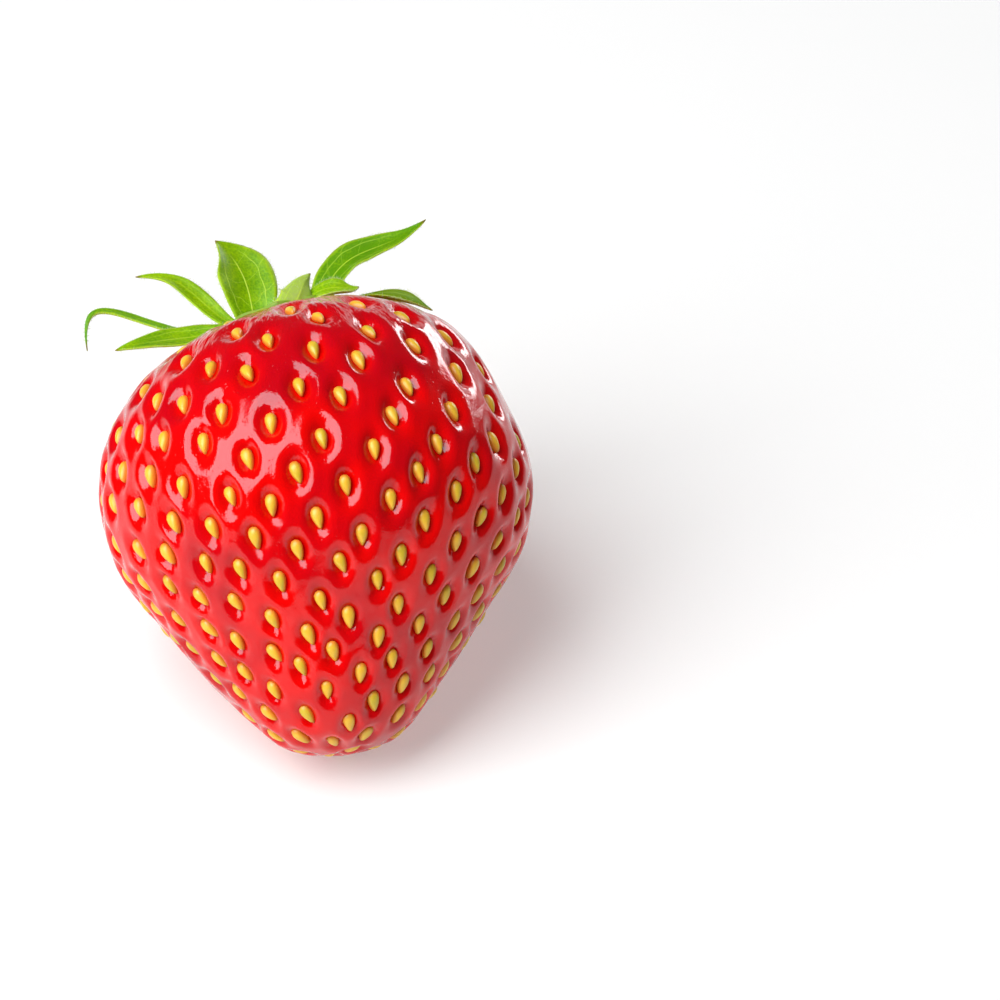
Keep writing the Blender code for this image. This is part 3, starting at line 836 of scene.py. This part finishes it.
def sepal_face(settings, name, upper):
    """A sepal's face. The upper one is smooth, fresh green and a little glossy, the lower one paler and
    matt with downy hairs. Both show a pale midrib with side veins that bend towards the tip."""
    material, tree, shader = new_material(name, {
        "Roughness": 0.42 if upper else 0.65,
        "IOR": 1.45,
        "Subsurface Weight": 0.35,
        "Subsurface Radius": (0.6, 1.0, 0.2),
        "Subsurface Scale": 0.5 * MM,
        "Specular IOR Level": 0.25 if upper else 0.15,
    })
    place = add_node(tree, "TexCoord")
    along, across, tone, share, reach = (
        add_node(tree, "Attribute", {"attribute_name": name})
        for name in ("along", "across", "tone", "share", "reach"))
    bend = add_node(tree, "TexNoise", {"Scale": 1.0 / (1.8 * MM), "Detail": 1.0}, {"Vector": place})
    side = add_node(tree, "Math", {"operation": "ABSOLUTE"}, {0: across})
    main_vein = add_node(tree, "MapRange",
                         {"From Min": 0.02, "From Max": 0.08, "To Min": 1.0, "To Max": 0.0},
                         {"Value": side})
    long_place = add_node(tree, "Math", {"operation": "MULTIPLY_ADD", 1: 0.3, 2: SIDE_VEINS_AT - 0.15},
                          {0: bend})
    long_line = add_node(tree, "Math", {"operation": "MULTIPLY"}, {0: long_place, 1: reach})
    long_away = add_node(tree, "Math", {"operation": "SUBTRACT"}, {0: side, 1: long_line})
    long_near = add_node(tree, "Math", {"operation": "ABSOLUTE"}, {0: long_away})
    long_veins = add_node(tree, "MapRange",
                          {"From Min": 0.01, "From Max": 0.06, "To Min": 0.7, "To Max": 0.0},
                          {"Value": long_near})
    slant = add_node(tree, "Math", {"operation": "MULTIPLY_ADD", 1: -0.8}, {0: side, 2: along})
    wander = add_node(tree, "Math", {"operation": "MULTIPLY_ADD", 1: 1.6}, {0: bend, 2: slant})
    spaced = add_node(tree, "Math", {"operation": "PINGPONG", 1: 0.9}, {0: wander})
    cross_veins = add_node(tree, "MapRange",
                           {"From Min": 0.01, "From Max": 0.05, "To Min": 0.4, "To Max": 0.0},
                           {"Value": spaced})
    strong = add_node(tree, "Math", {"operation": "MAXIMUM"}, {0: main_vein, 1: long_veins})
    veins = add_node(tree, "Math", {"operation": "MAXIMUM"}, {0: strong, 1: cross_veins})
    fading = add_node(tree, "MapRange", {"From Min": 0.6, "From Max": 0.85, "To Min": 1.0, "To Max": 0.0},
                      {"Value": share})
    broad = add_node(tree, "MapRange", {"From Min": 0.5, "From Max": 2.4, "To Min": 0.15}, {"Value": reach})
    clear = add_node(tree, "Math", {"operation": "MULTIPLY"}, {0: broad, 1: fading})
    shown = add_node(tree, "Math", {"operation": "MULTIPLY"}, {0: veins, 1: clear})
    clouds = add_node(tree, "TexNoise", {"Scale": 1.0 / (2.4 * MM), "Detail": 3.0}, {"Vector": place})
    shade = add_node(tree, "Math", {"operation": "MULTIPLY_ADD", 1: 0.9, 2: -0.2}, {0: clouds})
    ripeness = add_node(tree, "Math", {"operation": "ADD"}, {0: shade, 1: tone})
    cells = add_node(tree, "TexVoronoi", {"Scale": 1.0 / (0.2 * MM)}, {"Vector": place})
    mottled = add_node(tree, "Math", {"operation": "MULTIPLY_ADD", 1: -0.5, "use_clamp": True},
                       {0: cells, 2: ripeness})
    light, deep = (settings.fresh, settings.dark) if upper else (settings.under, settings.fresh)
    blade = add_node(tree, "Mix", {"data_type": "RGBA", 6: rgba(light), 7: rgba(deep)}, {0: mottled})
    across_share = add_node(tree, "Math", {"operation": "DIVIDE"}, {0: side, 1: reach})
    margin = add_node(tree, "MapRange", {"From Min": 0.8, "From Max": 1.0, "To Max": 0.6},
                      {"Value": across_share})
    edged = add_node(tree, "Mix", {"data_type": "RGBA", 7: rgba(settings.margin)}, {0: margin, 6: blade})
    faint = add_node(tree, "Math", {"operation": "MULTIPLY", 1: 0.95}, {0: shown})
    leaf = add_node(tree, "Mix", {"data_type": "RGBA", 7: rgba(settings.vein)}, {0: faint, 6: edged})
    dying_tip = add_node(tree, "MapRange", {"From Min": 0.955, "From Max": 0.99}, {"Value": share})
    ageing = add_node(tree, "Math", {"operation": "SUBTRACT", 1: 1.0, "use_clamp": True}, {0: tone})
    withered = add_node(tree, "Math", {"operation": "MAXIMUM"}, {0: dying_tip, 1: ageing})
    tipped = add_node(tree, "Mix", {"data_type": "RGBA", 7: rgba(settings.tip)}, {0: withered, 6: leaf})
    tree.links.new(tipped, shader.inputs["Base Color"])
    puckers = add_node(tree, "Bump", {"Strength": 0.35, "Distance": 0.04 * MM}, {"Height": cells})
    relief = add_node(tree, "Bump", {"Strength": 0.4, "Distance": 0.05 * MM, "invert": upper},
                      {"Height": shown, "Normal": puckers})
    tree.links.new(relief, shader.inputs["Normal"])
    return material


class STRAWBERRY_OT_sepals(Operator):
    """Builds the sepals with their veins"""
    bl_idname = "strawberry.sepals"
    bl_label = "Sepals"

    def execute(self, context):
        settings = context.scene.strawberry_calyx
        mesh = build_sepals(settings)
        upper = sepal_face(settings, "sepal_upper_face", True)
        lower = sepal_face(settings, "sepal_lower_face", False)
        new_piece("sepals", mesh, "calyx", [upper, lower])
        new_piece("sepal_hairs", build_hairs(settings), "calyx", [sepal_down(settings)])
        return {"FINISHED"}


def build_disc():
    """The disc and the stalk's stub, turned about the axis and set on the sloping top."""
    verts = []
    rows = DISC[1:-1]
    for radius, height in rows:
        for step in range(DISC_TURNS):
            turn = 2.0 * math.pi * step / DISC_TURNS
            rib = RIB_RISE * math.sin(DISC_RIBS * turn) if radius > STUB_REACH else 0.0
            ribbed = radius * (1.0 + rib)
            verts.append(on_top((ribbed * math.cos(turn), ribbed * math.sin(turn), height)))
    verts.append(on_top((0.0, 0.0, DISC[0][1])))
    verts.append(on_top((0.0, 0.0, DISC[-1][1])))
    end = len(rows) * DISC_TURNS
    return new_mesh("calyx_disc", verts, ring_faces(len(rows), DISC_TURNS, end, end + 1))


def stub_tissue(settings):
    """The firm pale green tissue of the disc and the cut stalk, downy and without gloss."""
    material, tree, shader = new_material("calyx_disc_tissue", {
        "Roughness": 0.6,
        "Subsurface Weight": 0.2,
        "Subsurface Scale": 0.5 * MM,
    })
    place = add_node(tree, "TexCoord")
    clouds = add_node(tree, "TexNoise", {"Scale": 1.0 / (0.9 * MM), "Detail": 3.0}, {"Vector": place})
    tint = add_node(tree, "Mix", {"data_type": "RGBA", 6: rgba(settings.stub), 7: rgba(settings.dark)},
                    {0: clouds})
    dots = add_node(tree, "TexNoise", {"Scale": 1.0 / (0.4 * MM), "Detail": 1.0}, {"Vector": place})
    dead = add_node(tree, "MapRange", {"From Min": 0.6, "From Max": 0.72, "To Max": 0.6}, {"Value": dots})
    spotted = add_node(tree, "Mix", {"data_type": "RGBA", 7: rgba(settings.tip)}, {0: dead, 6: tint})
    tree.links.new(spotted, shader.inputs["Base Color"])
    bump = add_node(tree, "Bump", {"Strength": 0.6, "Distance": 0.08 * MM}, {"Height": clouds})
    tree.links.new(bump, shader.inputs["Normal"])
    return material


class STRAWBERRY_OT_disc(Operator):
    """Builds the calyx disc with the stub of the stalk"""
    bl_idname = "strawberry.disc"
    bl_label = "Calyx disc"

    def execute(self, context):
        settings = context.scene.strawberry_calyx
        new_piece("calyx_disc", build_disc(), "calyx", [stub_tissue(settings)])
        return {"FINISHED"}


# ---------------------------------------------------------------- floor, light and camera

class StageSettings(PropertyGroup):
    floor_size: length("Floor", 3000.0, "Width of the square floor")
    floor_colour: colour("Floor colour", "D2D2D2", "Opal acrylic sheet")
    floor_glow: FloatProperty(name="Floor glow", description="Light that comes through the floor from below, "
                              "which keeps the shadow soft and pale", min=0.0, default=0.33)
    lens: FloatProperty(name="Lens", description="Focal length in millimetres", min=10.0, default=150.0)
    azimuth: FloatProperty(name="Azimuth", description="Camera's angle about the vertical",
                           unit="ROTATION", subtype="ANGLE", default=math.radians(-7.0))
    elevation: FloatProperty(name="Elevation", description="Camera's angle above the floor",
                             unit="ROTATION", subtype="ANGLE", default=math.radians(40.0))
    distance: length("Distance", 352.0, "From the camera to the fruit")
    key_light: FloatProperty(name="Key", description="Brightness of the large softbox, against white paper",
                             min=0.0, default=6.2)
    key_gloss: colour("Key gloss", "9BF7FF", "Cool tint of the large softbox in the gloss, so that its "
                      "reflections don't burn out the reds")
    rim_light: FloatProperty(name="Rim", description="Brightness of the strip light behind the fruit",
                             min=0.0, default=10.0)
    back_light: FloatProperty(name="Back", description="Brightness of the low wide softbox behind the fruit",
                              min=0.0, default=1.5)
    around: FloatProperty(name="Room", description="Brightness of the light from all round",
                          min=0.0, default=0.06)


MIDDLE = Vector((0.0, 0.008, 0.016))        # what the camera and the lights turn to
FRAMING = (0.01598, -0.0044)                # moves the view to the right and down, so the fruit stands left
GLOSS_SHARE = 1.08                          # the key's brightness in the gloss, against that elsewhere
FLOOR_BELOW = 0.02                          # millimetres that the floor lies under the fruit


def view_frame(settings):
    """Unit vectors of the camera's view: ahead, to the right and up."""
    a = settings.azimuth
    e = settings.elevation
    ahead = Vector((-math.sin(a) * math.cos(e), math.cos(a) * math.cos(e), -math.sin(e)))
    right = Vector((math.cos(a), math.sin(a), 0.0))
    return ahead, right, right.cross(ahead)


def aimed(place, target):
    """Matrix that stands at a place and looks at a target along -Z."""
    turn = (target - place).to_track_quat("-Z", "Y").to_matrix().to_4x4()
    return Matrix.Translation(place) @ turn


def softbox(name, turn, rise, distance, width, height, brightness):
    """A soft rectangular light, aimed at the fruit from an angle about the vertical and above the floor.
    Its brightness is that of its face, against lit white paper."""
    light = bpy.data.lights.new(name, "AREA")
    light.shape = "RECTANGLE"
    light.size = width
    light.size_y = height
    light.energy = brightness * math.pi * width * height
    lamp = new_object(name, light)
    turn = math.radians(turn)
    rise = math.radians(rise)
    towards = Vector((math.sin(turn) * math.cos(rise), -math.cos(turn) * math.cos(rise), math.sin(rise)))
    lamp.matrix_world = aimed(MIDDLE + towards * distance, MIDDLE)
    lamp.visible_camera = False
    return lamp


def build_floor(settings):
    """A cast opal acrylic sheet with a fine matt face, lit faintly from below. It gives the eye a clean
    white ground on which the shadow stays soft and pale."""
    mesh = bpy.data.meshes.new("floor")
    half = 0.5 * settings.floor_size
    below = -FLOOR_BELOW * MM
    mesh.from_pydata([(-half, -half, below), (half, -half, below), (half, half, below), (-half, half, below)],
                     [], [(0, 1, 2, 3)])
    floor = new_object("floor", mesh)
    material, tree, shader = new_material("opal_acrylic_sheet", {
        "Base Color": rgba(settings.floor_colour),
        "Roughness": 0.9,
        "Specular IOR Level": 0.1,
        "Emission Color": (1.0, 1.0, 1.0, 1.0),
        "Emission Strength": settings.floor_glow,
    })
    place = add_node(tree, "TexCoord")
    frosting = add_node(tree, "TexNoise", {"Scale": 1.0 / (0.8 * MM), "Detail": 3.0}, {"Vector": place})
    bump = add_node(tree, "Bump", {"Strength": 0.1, "Distance": 0.02 * MM}, {"Height": frosting})
    tree.links.new(bump, shader.inputs["Normal"])
    mesh.materials.append(material)


def build_camera(settings):
    ahead, right, up = view_frame(settings)
    data = bpy.data.cameras.new("camera")
    data.lens = settings.lens
    data.clip_start = 0.01
    camera = new_object("camera", data)
    target = MIDDLE + right * FRAMING[0] + up * FRAMING[1]
    camera.matrix_world = aimed(target - ahead * settings.distance, target)
    bpy.context.scene.camera = camera


def build_lights(settings):
    """A large key softbox at the upper left, a strip and a low wide softbox behind, and a dim white room.
    The key is two lights in one place: one that lights, and one that shows in the gloss."""
    place = {"turn": -61.5, "rise": 54.0, "distance": 0.5, "width": 0.38, "height": 0.6}
    key = softbox("key_softbox", **place, brightness=settings.key_light)
    key.visible_glossy = False
    key.data.cycles.use_multiple_importance_sampling = False    # otherwise the other one doesn't show
    gloss = softbox("key_gloss", **place, brightness=GLOSS_SHARE * settings.key_light)
    gloss.visible_diffuse = False
    gloss.visible_transmission = False
    gloss.data.color = settings.key_gloss
    softbox("rim_softbox", turn=139.0, rise=9.0, distance=0.6, width=0.24, height=0.14,
            brightness=settings.rim_light)
    softbox("back_softbox", turn=158.0, rise=14.0, distance=0.7, width=0.4, height=0.14,
            brightness=settings.back_light)
    world = bpy.data.worlds.new("room")
    world.use_nodes = True
    room = world.node_tree.nodes["Background"]
    room.inputs["Color"].default_value = (1.0, 1.0, 1.0, 1.0)
    room.inputs["Strength"].default_value = settings.around
    bpy.context.scene.world = world


class STRAWBERRY_OT_stage(Operator):
    """Lays the floor and sets up the lights and the camera"""
    bl_idname = "strawberry.stage"
    bl_label = "Stage"

    def execute(self, context):
        settings = context.scene.strawberry_stage
        build_floor(settings)
        build_lights(settings)
        build_camera(settings)
        context.scene.view_settings.view_transform = "Standard"     # keeps the reds as full as they are
        return {"FINISHED"}


# ---------------------------------------------------------------- sidebar and run

SETTINGS = {
    "strawberry_skin": SkinSettings,
    "strawberry_achenes": AcheneSettings,
    "strawberry_calyx": CalyxSettings,
    "strawberry_stage": StageSettings,
}
OPERATORS = (STRAWBERRY_OT_skin, STRAWBERRY_OT_achenes, STRAWBERRY_OT_sepals, STRAWBERRY_OT_disc,
             STRAWBERRY_OT_stage)


class STRAWBERRY_PT_sidebar(Panel):
    """Lists the strawberry's pieces with their sizes and colours"""
    bl_idname = "STRAWBERRY_PT_sidebar"
    bl_label = "Strawberry"
    bl_space_type = "VIEW_3D"
    bl_region_type = "UI"
    bl_category = "Strawberry"

    def draw(self, context):
        for name, group in SETTINGS.items():
            box = self.layout.box()
            for key in group.__annotations__:
                box.prop(getattr(context.scene, name), key)
        for operator in OPERATORS:
            self.layout.operator(operator.bl_idname)


CLASSES = (*SETTINGS.values(), *OPERATORS, STRAWBERRY_PT_sidebar)


def register():
    for item in CLASSES:
        bpy.utils.register_class(item)
    for name, group in SETTINGS.items():
        setattr(bpy.types.Scene, name, PointerProperty(type=group))


def unregister():
    for name in SETTINGS:
        delattr(bpy.types.Scene, name)
    for item in reversed(CLASSES):
        bpy.utils.unregister_class(item)


def main():
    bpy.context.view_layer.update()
    register()
    bpy.ops.strawberry.skin()
    bpy.ops.strawberry.achenes()
    bpy.ops.strawberry.sepals()
    bpy.ops.strawberry.disc()
    bpy.ops.strawberry.stage()


if __name__ == "__main__":
    main()
